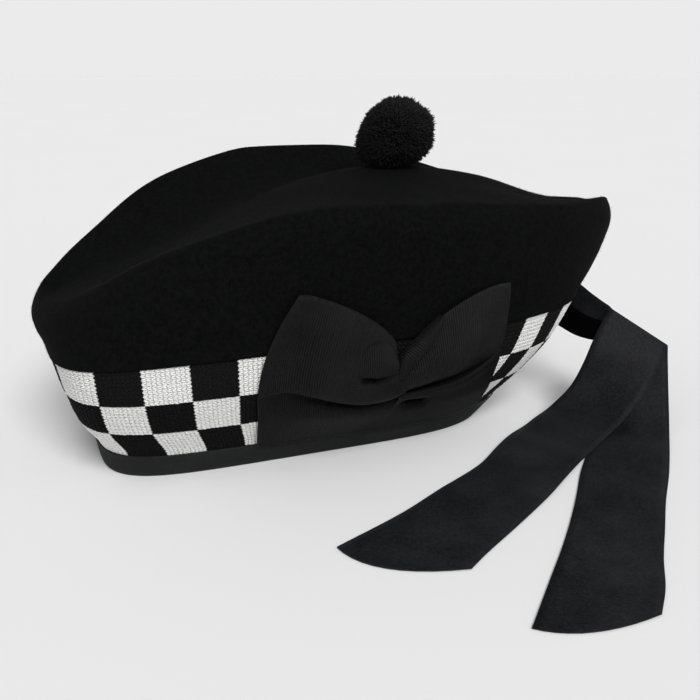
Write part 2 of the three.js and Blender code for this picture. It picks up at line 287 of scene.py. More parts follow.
def ramp(tree, value, low, high, start=0.3, end=0.7):
    node = tree.nodes.new("ShaderNodeValToRGB")
    node.color_ramp.elements[0].position = start
    node.color_ramp.elements[1].position = end
    node.color_ramp.elements[0].color = (*low, 1)
    node.color_ramp.elements[1].color = (*high, 1)
    tree.links.new(value, node.inputs["Fac"])
    return node.outputs["Color"]


def mixed(tree, first, second, share):
    node = tree.nodes.new("ShaderNodeMix")
    node.inputs["Factor"].default_value = share
    tree.links.new(first, node.inputs["A"])
    tree.links.new(second, node.inputs["B"])
    return node.outputs["Result"]


def bump(tree, body, value, depth, strength, under=None):
    node = tree.nodes.new("ShaderNodeBump")
    node.inputs["Strength"].default_value = strength
    node.inputs["Distance"].default_value = depth
    tree.links.new(value, node.inputs["Height"])
    if under is not None:
        tree.links.new(under, node.inputs["Normal"])
    tree.links.new(node.outputs["Normal"], body.inputs["Normal"])
    return node.outputs["Normal"]


def felt(name, dark, light, sheen):
    """Milled wool: matted fibres, cloudy nap and a soft bloom at grazing angles."""
    material, tree, body = shader(name, roughness=0.95, specular=0.03)
    body.inputs["Sheen Weight"].default_value = sheen
    body.inputs["Sheen Roughness"].default_value = 0.5
    body.inputs["Sheen Tint"].default_value = (0.9, 0.92, 0.95, 1)
    nap = noise(tree, scale=420, detail=6, roughness=0.75)
    tree.links.new(ramp(tree, nap, dark, light), body.inputs["Base Color"])
    cloudy = noise(tree, scale=120, detail=4, roughness=0.6)
    clouds = bump(tree, body, cloudy, depth=0.0008, strength=0.35)
    matted = noise(tree, scale=1500, detail=4, roughness=0.7)
    bump(tree, body, matted, depth=0.0005, strength=0.6, under=clouds)
    return material


def yarn(name, dark, light, sheen):
    """Knitting yarn: fine twisted fibres along each stitch."""
    material, tree, body = shader(name, roughness=0.9, specular=0.12)
    body.inputs["Sheen Weight"].default_value = sheen
    body.inputs["Sheen Roughness"].default_value = 0.5
    strands = noise(tree, scale=900, detail=4, roughness=0.6)
    tree.links.new(ramp(tree, strands, dark, light), body.inputs["Base Color"])
    twist = noise(tree, scale=2600, detail=3, roughness=0.6)
    bump(tree, body, twist, depth=0.0003, strength=0.6)
    return material


def grosgrain(name, dark, light, roughness, specular, sheen):
    """Ribbed ribbon: slightly silky threads with faint cloudy wear."""
    material, tree, body = shader(name, roughness, specular)
    body.inputs["Sheen Weight"].default_value = sheen
    body.inputs["Sheen Roughness"].default_value = 0.4
    body.inputs["Sheen Tint"].default_value = (0.8, 0.85, 1.0, 1)
    threads = noise(tree, scale=750, detail=5, roughness=0.75)
    wear = noise(tree, scale=34, detail=3, roughness=0.6)
    weave = mixed(tree, threads, wear, share=0.4)
    tree.links.new(ramp(tree, weave, dark, light, start=0.38, end=0.62), body.inputs["Base Color"])
    grain = noise(tree, scale=3200, detail=2, roughness=0.5)
    bump(tree, body, grain, depth=0.0002, strength=0.5)
    return material


FELT = felt("milled_wool", (0.0016, 0.0017, 0.0017), (0.0054, 0.0057, 0.0056), sheen=0.006)
FUZZ = felt("wool_fibre", (0.002, 0.002, 0.002), (0.005, 0.005, 0.005), sheen=0.006)
YARN_WHITE = yarn("white_yarn", (0.76, 0.76, 0.75), (0.94, 0.94, 0.93), sheen=0.1)
YARN_BLACK = yarn("black_yarn", (0.0022, 0.0023, 0.0024), (0.0052, 0.0053, 0.0056), sheen=0.03)
RIBBON_BOW = grosgrain("bow_grosgrain", (0.0034, 0.0035, 0.0035), (0.0106, 0.0107, 0.0108),
                       roughness=0.6, specular=0.11, sheen=0.022)
# Painted light: the right loop is the same cloth as the rest of the bow, given a lighter copy of its tone
# to stand in for the brighter light on that loop.
RIBBON_RIGHT_PAINTED_LIGHT = grosgrain("right_grosgrain_painted_light", (0.0046, 0.0047, 0.0047), (0.0142, 0.0144, 0.0145),
                         roughness=0.6, specular=0.12, sheen=0.026)
# Painted shade: a darker copy of the bow's ribbon tone for the loops' lower layer, standing in for the
# shade under the folds.
RIBBON_UNDER_PAINTED_SHADE = grosgrain("under_grosgrain_painted_shade", (0.0026, 0.0027, 0.0027), (0.0082, 0.0083, 0.0084),
                         roughness=0.6, specular=0.10, sheen=0.018)
RIBBON_TAIL = grosgrain("tail_grosgrain", (0.0030, 0.0032, 0.0037), (0.0168, 0.0175, 0.0192),
                        roughness=0.6, specular=0.12, sheen=0.025)
RIBBON_EDGE = grosgrain("binding_grosgrain", (0.0057, 0.0061, 0.0063), (0.0125, 0.0130, 0.0134),
                        roughness=0.6, specular=0.14, sheen=0.03)
# Painted shade: a near-black ribbon tone laid on cells deep in the bow's hollows and below the crease of
# the ribbon's start, standing in for the shade there.
RIBBON_PAINTED_SHADE = grosgrain("ribbon_painted_shade_grosgrain", (0.0010, 0.0010, 0.0011), (0.0030, 0.0030, 0.0034),
                          roughness=0.8, specular=0.03, sheen=0.0)
POMPOM = yarn("pompom_yarn", (0.0028, 0.0029, 0.0030), (0.0090, 0.0092, 0.0095), sheen=0.045)


# Crown

CROWN_WALL = 2.6
WALL_ROWS = 58
TOP_ROWS = 46
INSIDE_STRIDE = 5
CREST_SOFTEN = 10
RIM_SOFTEN = 10
ROUND_SOFTEN = 4
# Where the top edge rises or falls from its plain line: place round the loop, spread, rise.
RIM_CURL = ((0.455, 0.036, 5.2), (0.545, 0.055, -5.0), (0.690, 0.060, 6.5),
            (0.855, 0.036, 3.2), (0.935, 0.045, 2.6), (0.992, 0.027, 4.8))
CURL_FROM_RING = 2.0
CURL_TOP_ROWS = 14
LIP_BULGE = 1.1
LIP_DEPTH = 4.0
DENT_SIZE = 62.0
DENT_DEPTH = 0.7
DENT_FADE_ROWS = 14
DENT_SEED = 11
HAIR_COUNT = 34000
HAIR_STAND = 0.55
HAIR_SPREAD = 0.6
HAIR_SHORTEST = 0.5
HAIR_LONGEST = 1.5
HAIR_WIDTH = 0.045
HAIR_BEND = 0.4
HAIR_PLACE_SEED = 3
HAIR_BEND_SEED = 4


def crown_top(rim):
    """The top from its rim to the spine, one row for each step inward."""
    half = AROUND // 2
    turn = np.arange(AROUND)
    share = np.minimum(turn, AROUND - turn) / half
    spine_y = SPINE[0][0] + (SPINE[-1][0] - SPINE[0][0]) * share
    known = np.array(SPINE, dtype=float)
    level = np.interp(spine_y, known[:, 0], np.arange(len(SPINE)))
    line = loft(np.stack([0 * known[:, :1], known[:, :1], known[:, 1:]], axis=2), level)[:, 0, :]
    line[:, 1] = spine_y
    dip = np.where(turn < half, DIP_LEFT, DIP_RIGHT) * np.sin(np.pi * share)
    steps = np.linspace(1, 0, TOP_ROWS)[:, None, None]
    top = line + (rim - line) * steps
    top[:, :, 2] -= dip * np.sin(np.pi * steps[:, :, 0])
    # The crest is softened along each cut from the left edge over the middle to the right edge.
    mirror = (AROUND - turn[:half + 1]) % AROUND
    cuts = np.concatenate([top[:, :half + 1], top[-2::-1, mirror]])
    cuts = smooth_line(cuts, CREST_SOFTEN)
    top[:, :half + 1] = cuts[:TOP_ROWS]
    top[:, mirror] = cuts[:TOP_ROWS - 2:-1]
    return top


def curl_rim(grid, ring_level):
    """Raises and lowers the top edge by its curls, fading down the wall and in over the top."""
    last = len(CROWN_RINGS) - 1
    rising = np.clip((ring_level - CURL_FROM_RING) / (last - CURL_FROM_RING), 0, 1)
    falling = np.clip(1 - np.arange(1, TOP_ROWS) / CURL_TOP_ROWS, 0, 1)
    weight = np.concatenate([rising, falling])
    weight = weight * weight * (3 - 2 * weight)
    for centre, spread, rise in RIM_CURL:
        away = (np.arange(AROUND) / AROUND - centre + 0.5) % 1 - 0.5
        grid[:, :, 2] += rise * np.exp(-(away / spread) ** 2) * weight[:, None]


def crown_grid():
    """The crown's outside, from the band over the edge to the spine, and its normals."""
    ring_level = np.linspace(0, len(CROWN_RINGS) - 1, WALL_ROWS)
    wall = loft([loop(ring) for ring in CROWN_RINGS], ring_level)
    grid = np.concatenate([wall, crown_top(wall[-1])[1:]])
    curl_rim(grid, ring_level)
    grid = smooth_line(grid, RIM_SOFTEN)
    grid = smooth_line(grid.swapaxes(0, 1), ROUND_SOFTEN, wrap=True).swapaxes(0, 1)
    normal = normals_of(grid, True)
    normal[-1] = (0, 0, 1)
    drop = np.linalg.norm(grid[:WALL_ROWS] - grid[0], axis=2)
    lip = LIP_BULGE * np.exp(-(drop / LIP_DEPTH) ** 2)
    grid[:WALL_ROWS] += normal[:WALL_ROWS] * lip[:, :, None]
    fade = np.clip(np.arange(len(grid)) / DENT_FADE_ROWS, 0, 1)[:, None, None]
    grid += normal * fade * DENT_DEPTH * soft_noise(grid, DENT_SIZE, DENT_SEED)[:, :, None]
    return grid, normal


def build_crown():
    outer, normal = crown_grid()
    inner = outer - normal * CROWN_WALL
    inner = inner[list(range(0, len(inner) - 1, INSIDE_STRIDE)) + [len(inner) - 1]]
    rows = np.concatenate([inner[::-1], outer])
    index = np.arange(rows.shape[0] * AROUND).reshape(-1, AROUND)
    turn = np.arange(AROUND)
    zip_to = np.minimum(turn, (AROUND - turn) % AROUND)
    index[0] = index[0][zip_to]
    index[-1] = index[-1][zip_to]
    piece = make_piece("crown_felt", rows.reshape(-1, 3), grid_faces(index, True), [FELT])
    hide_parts("crown")
    build_nap(outer, normal)


def build_nap(outer, normal):
    """Short fibres spread evenly over the crown's outside."""
    draw = np.random.default_rng(HAIR_PLACE_SEED)
    around = np.roll(outer, -1, 1) - outer
    upward = np.roll(outer, -1, 0) - outer
    area = np.linalg.norm(np.cross(around, upward), axis=2)
    area[-1] = 0
    pick = draw.choice(area.size, HAIR_COUNT, p=area.ravel() / area.sum())
    row, column = np.unravel_index(pick, area.shape)
    ahead = (column + 1) % AROUND
    s, t = draw.uniform(size=(2, HAIR_COUNT, 1))
    roots = (outer[row, column] * (1 - s) * (1 - t) + outer[row, ahead] * s * (1 - t)
             + outer[row + 1, column] * (1 - s) * t + outer[row + 1, ahead] * s * t)
    ways = unit(normal[row, column] * HAIR_STAND + draw.normal(size=(HAIR_COUNT, 3)) * HAIR_SPREAD)
    lengths = draw.uniform(HAIR_SHORTEST, HAIR_LONGEST, HAIR_COUNT)
    hair = fibres("crown_nap", roots, ways, lengths, HAIR_WIDTH, FUZZ, HAIR_BEND, HAIR_BEND_SEED)


build_crown()


# Diced band

BAND_WALL = 2.4
BAND_LEVELS = 121
BAND_AROUND = 960
CHECK_ROWS = 3
COURSES = 10
WALES = 9
HIDDEN_WALES = 2
COLUMNS = 40
LEG_RISE = 0.62
LEG_HALF = 0.27
# A stitch's leg runs along the band and out from the stitch's foot: these are its four stops.
LEG_REACH = (0.02, 0.13, 0.30, 0.43)
LEG_CLIMB = (-0.25, 0.12, 0.72, 1.12)
# Corners of a leg: stop, side of its middle line, share of its rise.
LEG_CORNERS = ((0, 0, 0.15), (1, -1, 0.0), (1, 0, 1.0), (1, 1, 0.0),
               (2, -1, 0.0), (2, 0, 1.0), (2, 1, 0.0), (3, 0, 0.2))
LEG_FACES = ((0, 1, 2), (0, 2, 3), (0, 3, 1), (1, 5, 2), (1, 4, 5), (2, 6, 3), (2, 5, 6),
             (3, 4, 1), (3, 6, 4), (4, 7, 5), (5, 7, 6), (6, 7, 4))
LEG_WOBBLE = 0.035
LEG_SWELL = 0.08
STITCH_SEED = 21
BACKING_SINK = 0.05
BACKING_MIDDLE = 0.6
# Where dice edges fall along the left half of the loop, low and high on the band: share, column.
DICE_LOW = ((0, 0.6), (0.110, 3), (0.189, 4), (0.372, 7), (0.585, 11), (0.745, 15), (0.822, 17),
            (1, 20.5))
DICE_HIGH = ((0, 0.6), (0.108, 3), (0.184, 4), (0.344, 7), (0.572, 11), (0.730, 15), (0.812, 17),
             (1, 20.5))
DICE_FIRST = 0.6
DICE_BACK = 20.5


def band_frame():
    """Points and normals of the band's outside on a close grid: levels by loop."""
    levels = np.linspace(0, len(BAND_RINGS) - 1, BAND_LEVELS)
    grid = loft([loop(ring, BAND_AROUND) for ring in BAND_RINGS], levels)
    return grid, normals_of(grid, True)


BAND_GRID, BAND_NORMAL = band_frame()


def on_band(column, level, rise):
    """A place on the band, from its dice column, its level in rings and its height off the wall."""
    column = np.asarray(column) % COLUMNS
    column = np.where(column < DICE_FIRST, column + COLUMNS, column)
    low = np.array(DICE_LOW)
    high = np.array(DICE_HIGH)
    slant = np.clip(level / (len(BAND_RINGS) - 1), 0, 1)
    left = (np.interp(column, low[:, 1], low[:, 0]) * (1 - slant)
            + np.interp(column, high[:, 1], high[:, 0]) * slant)
    right = 1 + (column - DICE_BACK) / (COLUMNS + DICE_FIRST - DICE_BACK)
    turn = np.where(column <= DICE_BACK, left, right) / 2 * BAND_AROUND
    height = slant * (BAND_LEVELS - 1)
    before = np.floor(turn).astype(int)
    below = np.floor(height).astype(int).clip(0, BAND_LEVELS - 2)
    s = (turn - before)[..., None]
    t = (height - below)[..., None]
    before = before % BAND_AROUND
    after = (before + 1) % BAND_AROUND

    def blend(field):
        return (field[below, before] * (1 - s) * (1 - t) + field[below, after] * s * (1 - t)
                + field[below + 1, before] * (1 - s) * t + field[below + 1, after] * s * t)
    return blend(BAND_GRID) + unit(blend(BAND_NORMAL)) * np.asarray(rise)[..., None]


def is_white(column, row):
    """Dice: row 0 is the lowest; odd columns are white in the top and bottom rows."""
    return (np.floor(column).astype(int) + row) % 2 == 1


def build_band():
    """Every stitch as two legs, sorted into white and black checks."""
    courses = np.arange(COLUMNS * COURSES)
    wales = np.arange(-HIDDEN_WALES, CHECK_ROWS * WALES)
    stitches = np.meshgrid(courses, wales, (-1, 1), indexing="ij")
    course, wale, side = (values.ravel() for values in stitches)
    draw = np.random.default_rng(STITCH_SEED)
    wobble = draw.normal(size=(2, len(course), 1)) * LEG_WOBBLE
    swell = 1 + draw.normal(size=len(course)) * LEG_SWELL
    middle_up = 0.5 + side[:, None] * (np.array(LEG_REACH) + wobble[0])
    middle_along = np.array(LEG_CLIMB) + wobble[1]
    corners = []
    for stop, across, lift in LEG_CORNERS:
        column = (course + middle_along[:, stop]) / COURSES
        level = 1 + (wale + middle_up[:, stop] + across * LEG_HALF * swell) / WALES
        corners.append(on_band(column, level, LEG_RISE * swell * lift))
    points = np.stack(corners, axis=1)
    white = is_white(course / COURSES, np.clip(wale, 0, None) // WALES)
    for name, chosen, material in (("band_knit_light", white, YARN_WHITE),
                                   ("band_knit_dark", ~white, YARN_BLACK)):
        some = points[chosen]
        faces = repeated(LEG_FACES, len(LEG_CORNERS), len(some))
        make_piece(name, some.reshape(-1, 3), faces, [material])
    build_backing()


def build_backing():
    """The knit's own thickness behind the stitches, checked like them."""
    foot = SEAM_FOOT / BINDING_HEIGHT
    levels = np.concatenate([[foot, BACKING_MIDDLE], 1 + np.arange(0, CHECK_ROWS * WALES + 1) / WALES])
    columns = np.arange(COLUMNS * COURSES) / COURSES
    level, column = np.meshgrid(levels, columns, indexing="ij")
    outer = on_band(column, level, np.full(level.shape, -BACKING_SINK))
    inner = on_band(column, level, np.full(level.shape, -BAND_WALL))
    rows = np.concatenate([inner[::-1], outer, inner[-1:]])
    index = np.arange(rows.shape[0] * len(columns)).reshape(rows.shape[:2])
    index[-1] = index[0]
    faces = grid_faces(index, True)
    points = rows[:-1].reshape(-1, 3)
    checked = np.concatenate([levels[::-1], levels, levels[-1:]])
    row = np.clip(np.floor((checked[:-1] + checked[1:]) / 2 - 1), 0, CHECK_ROWS - 1).astype(int)
    slots = is_white(columns[None, :] + 0.5 / COURSES, row[:, None]).astype(int)
    piece = make_piece("band_backing", points, faces, [YARN_BLACK, YARN_WHITE], slots.ravel())
    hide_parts("diced_band")


build_band()


# Bound edge

EDGE_LENGTH = 600
RIB_PITCH = 0.9
RIB_DEPTH = 0.12
RIB_SAMPLES = 3
# Round the U of the binding: distance out from the band, share of its height, how much ribs show.
BINDING_PROFILE = (
    (-3.2, 0.0, 0), (0.8, 0.0, 0), (1.35, 0.06, 1), (1.55, 0.3, 1), (1.5, 0.62, 1), (1.45, 0.88, 1),
    (1.55, 0.93, 0.2), (1.5, 0.99, 0.2), (1.2, 1.02, 0), (0.35, 1.0, 0), (0.35, 0.12, 0),
    (-2.7, 0.12, 0), (-2.7, 1.0, 0), (-3.7, 1.0, 0), (-3.9, 0.5, 1), (-3.7, 0.06, 1),
)


def build_binding():
    count = int(EDGE_LENGTH / RIB_PITCH) * RIB_SAMPLES
    foot = loop(BAND_RINGS[0], count)
    top = loop(BAND_RINGS[1], count)
    phase = np.cos(2 * math.pi * np.arange(count) / RIB_SAMPLES)
    rows = []
    for out, share, ribbed in BINDING_PROFILE:
        swell = RIB_DEPTH * ribbed * phase * np.sign(out)
        rows.append(widen(foot + (top - foot) * share, out + swell))
    index = np.arange(len(rows) * count).reshape(len(rows), count)
    index = np.concatenate([index, index[:1]])
    piece = make_piece("edge_binding", np.concatenate(rows), grid_faces(index, True), [RIBBON_EDGE])
    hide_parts("binding")


build_binding()


# Bow

BOW_WALL = 0.8
BOW_RIB_PITCH = 0.95
BOW_RIB_DEPTH = 0.28
BOW_SAMPLES = 4
BOW_ROWS = 64
LOOP_COLUMNS = ("y_bottom", "z_bottom", "y_fold", "z_fold", "y_top", "z_top", "lift", "pleat", "bulge")
# Stations along each loop, from the front of the hat to the back.
LEFT_LOOP = (
    (-37, 11, -40, 44, -21, 92.5, 2.8, 0.0, -4.0),
    (-29, 10, -28, 46, -15.5, 91.5, 6.5, 0.25, -2.5),
    (-15, 9.5, -15, 43, -4, 87, 9.5, 1.0, -1.0),
    (2, 9.5, -1, 37.8, 10, 79.5, 10.5, 1.0, 0.0),
    (16, 9.5, 12, 34.5, 21, 71, 10, 1.0, 0.0),
    (26, 9.5, 26, 35, 27.5, 61, 9, 1.0, 0.0),
    (32, 9.5, 34, 37, 27, 50, 7, 0.6, 0.0),
)
RIGHT_LOOP = (
    (26, 9.5, 31, 35.0, 28.5, 49, 6.8, 0.5, 0.0),
    (42, 9.5, 45, 37, 40, 66, 8.5, 1.0, 0.0),
    (56, 9.8, 58, 39.6, 54, 77, 9.5, 1.0, 0.0),
    (70, 10.5, 69.5, 43.5, 70, 84.5, 8.5, 0.8, 0.5),
    (80.5, 11.8, 79, 46.5, 81.5, 87, 6, 0.4, 1.0),
    (88.5, 15, 89, 50, 89, 87, 2.8, 0.05, 1.2),
)
PLEAT_DEPTH = 4.5
# Profile of each loop, bottom to top: share below the fold, share above it, pleat depths past the
# fold, lift as a share of the station's lift, lift added.
LEFT_PROFILE = (
    (0.0, 0.0, 0.0, 0.00, 2.2), (0.35, 0.0, 0.0, 0.30, 1.6), (0.66, 0.0, 0.0, 0.58, 1.2),
    (0.79, 0.0, 0.0, 0.58, 0.6), (0.91, 0.0, 0.0, 0.26, 0.6), (1.0, 0.0, 0.5, 0.12, 0.8),
    (1.0, 0.0, 1.0, 0.42, 0.6), (1.0, 0.0, 0.55, 0.78, 0.0), (1.0, 0.0, 0.0, 0.95, 0.0),
    (1.0, 0.0, 0.3, 1.05, 0.4), (1.0, 0.2, 0.0, 1.0, 0.6), (1.0, 0.45, 0.0, 0.95, 0.0),
    (1.0, 0.75, 0.0, 0.62, 0.3), (1.0, 1.0, 0.0, 0.22, 0.6),
)
RIGHT_PROFILE = (
    (0.0, 0.0, 0.0, 0.00, 2.6), (0.35, 0.0, 0.0, 0.40, 2.0), (0.75, 0.0, 0.0, 0.80, 0.9),
    (1.0, 0.0, 0.0, 1.0, 0.2), (1.0, 0.0, -0.1, 0.85, -0.4), (1.0, 0.0, -0.7, 0.45, 0.0),
    (1.0, 0.0, -0.5, 0.2, 0.4), (1.0, 0.0, 0.5, 0.55, 0.5), (1.0, 0.15, 0.0, 0.88, 0.8),
    (1.0, 0.4, 0.0, 0.97, 0.5), (1.0, 0.75, 0.0, 0.66, 0.3), (1.0, 1.0, 0.0, 0.30, 0.6),
)
LEAST_LIFT = 0.6
# Hollows pressed into the folds beside the middle: centre y, z, half size along, up, depth.
HOLLOWS = ((40.0, 29.0, 7.0, 2.6, 6.5), (14.0, 48.0, 6.5, 1.8, 4.5))
HOLLOW_FLOOR = 2.2
HOLLOW_ROOM = 1
# Cells sunk deeper than this share of a hollow get the painted-shade ribbon.
HOLLOW_PAINTED_SHADE_FROM = 0.5
# The lower layer ends at this row of a profile.
UNDER_TO = 5
# Material slots of a loop's cells: painted shade deep in a hollow, and the painted darker tone of the
# lower layer.
SLOT_HOLLOW_PAINTED_SHADE = 1
SLOT_UNDER_PAINTED_SHADE = 2
# A loop lies flat at this lift where it has no pleat, and takes its whole profile from this pleat on.
FLAT_LIFT = 2.6
FULL_PLEAT = 0.5
WALL_SAMPLES = 240
WALL_LOOPS = [half_ring(ring, 1, WALL_SAMPLES) for ring in BAND_RINGS + CROWN_RINGS[1:4]]


def left_wall(y, z):
    """How far the left wall stands out at a place along the hat and up it."""
    y, z = np.broadcast_arrays(y, z)
    xs = np.stack([np.interp(y, row[:, 1], row[:, 0]) for row in WALL_LOOPS])
    zs = np.stack([np.interp(y, row[:, 1], row[:, 2]) for row in WALL_LOOPS])
    found = xs[0]
    for k in range(len(WALL_LOOPS) - 1):
        share = np.clip((z - zs[k]) / (zs[k + 1] - zs[k]), 0, 1)
        found = found + (xs[k + 1] - xs[k]) * share
    return found


def off_wall(place):
    """Points from their place along the hat, up it and off its left wall."""
    y, z, lift = np.moveaxis(place, -1, 0)
    return np.stack([left_wall(y, z) + lift, y, z], axis=2)


def bow_grid(stations, profile):
    """Middle points of one loop and the material slot of each cell."""
    value = named_columns(stations, LOOP_COLUMNS)
    bottom = np.stack([value["y_bottom"], value["z_bottom"]], axis=1)
    fold = np.stack([value["y_fold"], value["z_fold"]], axis=1)
    top = np.stack([value["y_top"], value["z_top"]], axis=1)
    up = unit(top - fold)
    keys = []
    for below, above, past, share, added in profile:
        place = bottom + (fold - bottom) * below + (top - fold) * above
        place[:, 0] += value["bulge"] * 4 * above * (1 - above)
        place = place + up * (past * PLEAT_DEPTH * value["pleat"])[:, None]
        lift = np.maximum(value["lift"] * share + added, LEAST_LIFT)
        lift = FLAT_LIFT + (lift - FLAT_LIFT) * np.minimum(1, value["pleat"] / FULL_PLEAT)
        keys.append(np.concatenate([place, lift[:, None]], axis=1))
    fine = finer_rows(keys, BOW_ROWS)
    length = np.linalg.norm(np.diff(fine[:, :, :2].mean(axis=0), axis=0), axis=1).sum()
    place = finer_columns(fine, int(length / BOW_RIB_PITCH) * BOW_SAMPLES + 1)
    y, z, lift = np.moveaxis(place, -1, 0)
    sunk = np.zeros(lift.shape)
    for middle_y, middle_z, along, tall, depth in HOLLOWS:
        hollow = np.exp(-((y - middle_y) / along) ** 4 - ((z - middle_z) / tall) ** 4)
        open_to = lift > HOLLOW_FLOOR + HOLLOW_ROOM
        sunk = np.maximum(sunk, hollow * open_to)
        lift = np.where(open_to, np.maximum(lift - depth * hollow, HOLLOW_FLOOR), lift)
    # Cells of the lower layer take the darker painted-shade copy of the ribbon.
    under = np.linspace(0, len(keys) - 1, BOW_ROWS)[:-1, None] < UNDER_TO
    # Cells deep in a hollow are painted dark to stand for the shade inside it.
    hollow_painted_shade = sunk[:-1, :-1] > HOLLOW_PAINTED_SHADE_FROM
    slots = np.where(hollow_painted_shade, SLOT_HOLLOW_PAINTED_SHADE, np.where(under, SLOT_UNDER_PAINTED_SHADE, 0))
    return off_wall(np.stack([y, z, lift], axis=2)), slots


def add_ribs(grid, depth, samples, axis):
    """The grid with the ribbon's ribs raised along one axis."""
    count = grid.shape[axis]
    wave = depth * np.cos(2 * math.pi * np.arange(count) / samples)
    shape = (1, count, 1) if axis == 1 else (count, 1, 1)
    return grid + normals_of(grid, False) * wave.reshape(shape)


def bow_piece(name, grid, depth, materials, cell_slots=0):
    return sheet_piece(name, add_ribs(grid, depth, BOW_SAMPLES, 1), BOW_WALL, materials, cell_slots)


def build_bow():
    for name, stations, profile, ribbon, node, cut in (
            ("bow_left", LEFT_LOOP, LEFT_PROFILE, RIBBON_BOW, "bow_left_loop", (0.099, 0.078)),
            ("bow_right", RIGHT_LOOP, RIGHT_PROFILE, RIBBON_RIGHT_PAINTED_LIGHT, "bow_right_loop", (0.097, 0.076))):
        grid, slots = bow_grid(stations, profile)
        piece = bow_piece(name, grid, BOW_RIB_DEPTH, [ribbon, RIBBON_PAINTED_SHADE, RIBBON_UNDER_PAINTED_SHADE], slots)
        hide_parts(node)


# The tuck at the middle of the bow, from front to back.
TUCK_COLUMNS = ("y_low", "z_low", "y_high", "z_high", "lift_low", "lift_middle", "lift_high")
TUCK = (
    (5, 51, 6, 55, 10.2, 10.4, 9.6),
    (9, 51.5, 9.5, 63.5, 12.6, 12.6, 9.8),
    (15, 50.8, 16, 66.5, 13.2, 13.2, 9.4),
    (21, 51, 22, 64.5, 12.2, 12.2, 8.2),
    (26.5, 51.5, 27, 57.5, 9.4, 9.6, 6.6),
)
# Across the tuck: share of the way up, shares of the low, middle and high lift, lift added.
TUCK_PROFILE = (
    (0.12, 1.0, 0.0, 0.0, -3.2),
    (0.03, 1.0, 0.0, 0.0, -1.2),
    (0.0, 1.0, 0.0, 0.0, 0.0),
    (0.3, 0.0, 1.0, 0.0, 0.0),
    (0.65, 0.0, 0.45, 0.55, 0.0),
    (1.0, 0.0, 0.0, 1.0, -0.8),
)
TUCK_ROWS = 40
TUCK_RIBS = 24


def build_tuck():
    value = named_columns(TUCK, TUCK_COLUMNS)
    low = np.stack([value["y_low"], value["z_low"]], axis=1)
    high = np.stack([value["y_high"], value["z_high"]], axis=1)
    keys = []
    for share, of_low, of_middle, of_high, added in TUCK_PROFILE:
        lift = value["lift_low"] * of_low + value["lift_middle"] * of_middle
        lift = lift + value["lift_high"] * of_high + added
        keys.append(np.concatenate([low + (high - low) * share, lift[:, None]], axis=1))
    grid = off_wall(finer_columns(finer_rows(keys, TUCK_ROWS), TUCK_RIBS * BOW_SAMPLES + 1))
    piece = bow_piece("bow_tuck", grid, BOW_RIB_DEPTH, [RIBBON_BOW])
    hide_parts("bow_knot")


# The rolled edge of the right loop, from its foot up.
ROLL_COLUMNS = ("y_outer", "z_outer", "y_inner", "z_inner", "lift")
ROLL = (
    (27.0, 47.5, 29.5, 45.5, 7.5),
    (30, 57, 35, 52.4, 8.6),
    (38.3, 66, 43, 62.8, 9.2),
    (44.5, 71.0, 47.5, 68.6, 7.4),
    (50.5, 74.6, 51.6, 74.0, 3.2),
)
# Across the roll: share of the way in from the outer line, share of the lift, lift added.
ROLL_PROFILE = ((0.25, 0.2, 0.4), (-0.05, 0.55, 0.2), (0.05, 0.9, 0.2), (0.5, 1.0, 1.2),
                (0.95, 1.0, 0.2), (1.1, 0.9, -0.6))
ROLL_ROWS = 26
ROLL_RIBS = 39
ROLL_RIB_DEPTH = 0.24


def build_roll():
    value = named_columns(ROLL, ROLL_COLUMNS)
    outer = np.stack([value["y_outer"], value["z_outer"]], axis=1)
    inner = np.stack([value["y_inner"], value["z_inner"]], axis=1)
    keys = []
    for share, part, added in ROLL_PROFILE:
        lift = value["lift"] * part + added
        keys.append(np.concatenate([outer + (inner - outer) * share, lift[:, None]], axis=1))
    grid = off_wall(finer_columns(finer_rows(keys, ROLL_ROWS), ROLL_RIBS * BOW_SAMPLES + 1))
    piece = bow_piece("bow_roll", grid, ROLL_RIB_DEPTH, [RIBBON_BOW])


build_bow()
build_tuck()
build_roll()


# Pompom

TOORIE_CENTRE = np.array((0.0, 63.8, 153.0))
TOORIE_CORE = 15.5
TOORIE_REACH = 21.0
TOORIE_FLATTEN = 0.925
TOORIE_SEAT = 136.8
# The ball leans back as it rises, and sags wider toward its foot.
TOORIE_LEAN = 3.4
TOORIE_SAG = 0.26
YARN_ENDS = 9000
YARN_SEED = 31
CLUMPS = 190
CLUMP_SCATTER = 0.09
CLUMP_UNEVEN = 0.55
# An end leans toward its clump's middle, and ends near that middle stand a little prouder.
END_SCATTER = 0.03
END_GATHER = 0.22
END_STRAY = 0.11
END_UNEVEN = 0.45
DOME_EDGE = 0.985
DOME_WIDTH = 0.015
DOME_RISE = 1.1
DOME_SINK = 0.9
LUMP_RISE = 0.9
LUMP_SIZE = 22
LUMP_SEED = 8
LUMP_SCALE = 20
ROOT_DEPTH = 2.5
SEAT_SLACK = 3
# Along a yarn end: share of its length, half thickness.
END_WIDTHS = ((0.0, 0.45), (0.82, 0.5))
END_FACES = ((0, 1, 4), (0, 4, 3), (1, 2, 5), (1, 5, 4), (2, 0, 3), (2, 3, 5),
             (3, 4, 6), (4, 5, 6), (5, 3, 6), (0, 2, 1))
CORE_AROUND = 64
CORE_ROWS = 34
CORE_POLE = 0.02
CORE_PADDING = 1.6
CORE_LUMP = 0.9
CORE_LUMP_SIZE = 9
CORE_SEED = 5
CORE_SINK = 0.6


def sphere_points(count):
    """Evenly spread directions."""
    k = np.arange(count) + 0.5
    height = 1 - 2 * k / count
    turn = math.pi * (3 - math.sqrt(5)) * k
    spread = np.sqrt(1 - height**2)
    return np.stack([spread * np.cos(turn), spread * np.sin(turn), height], axis=1)


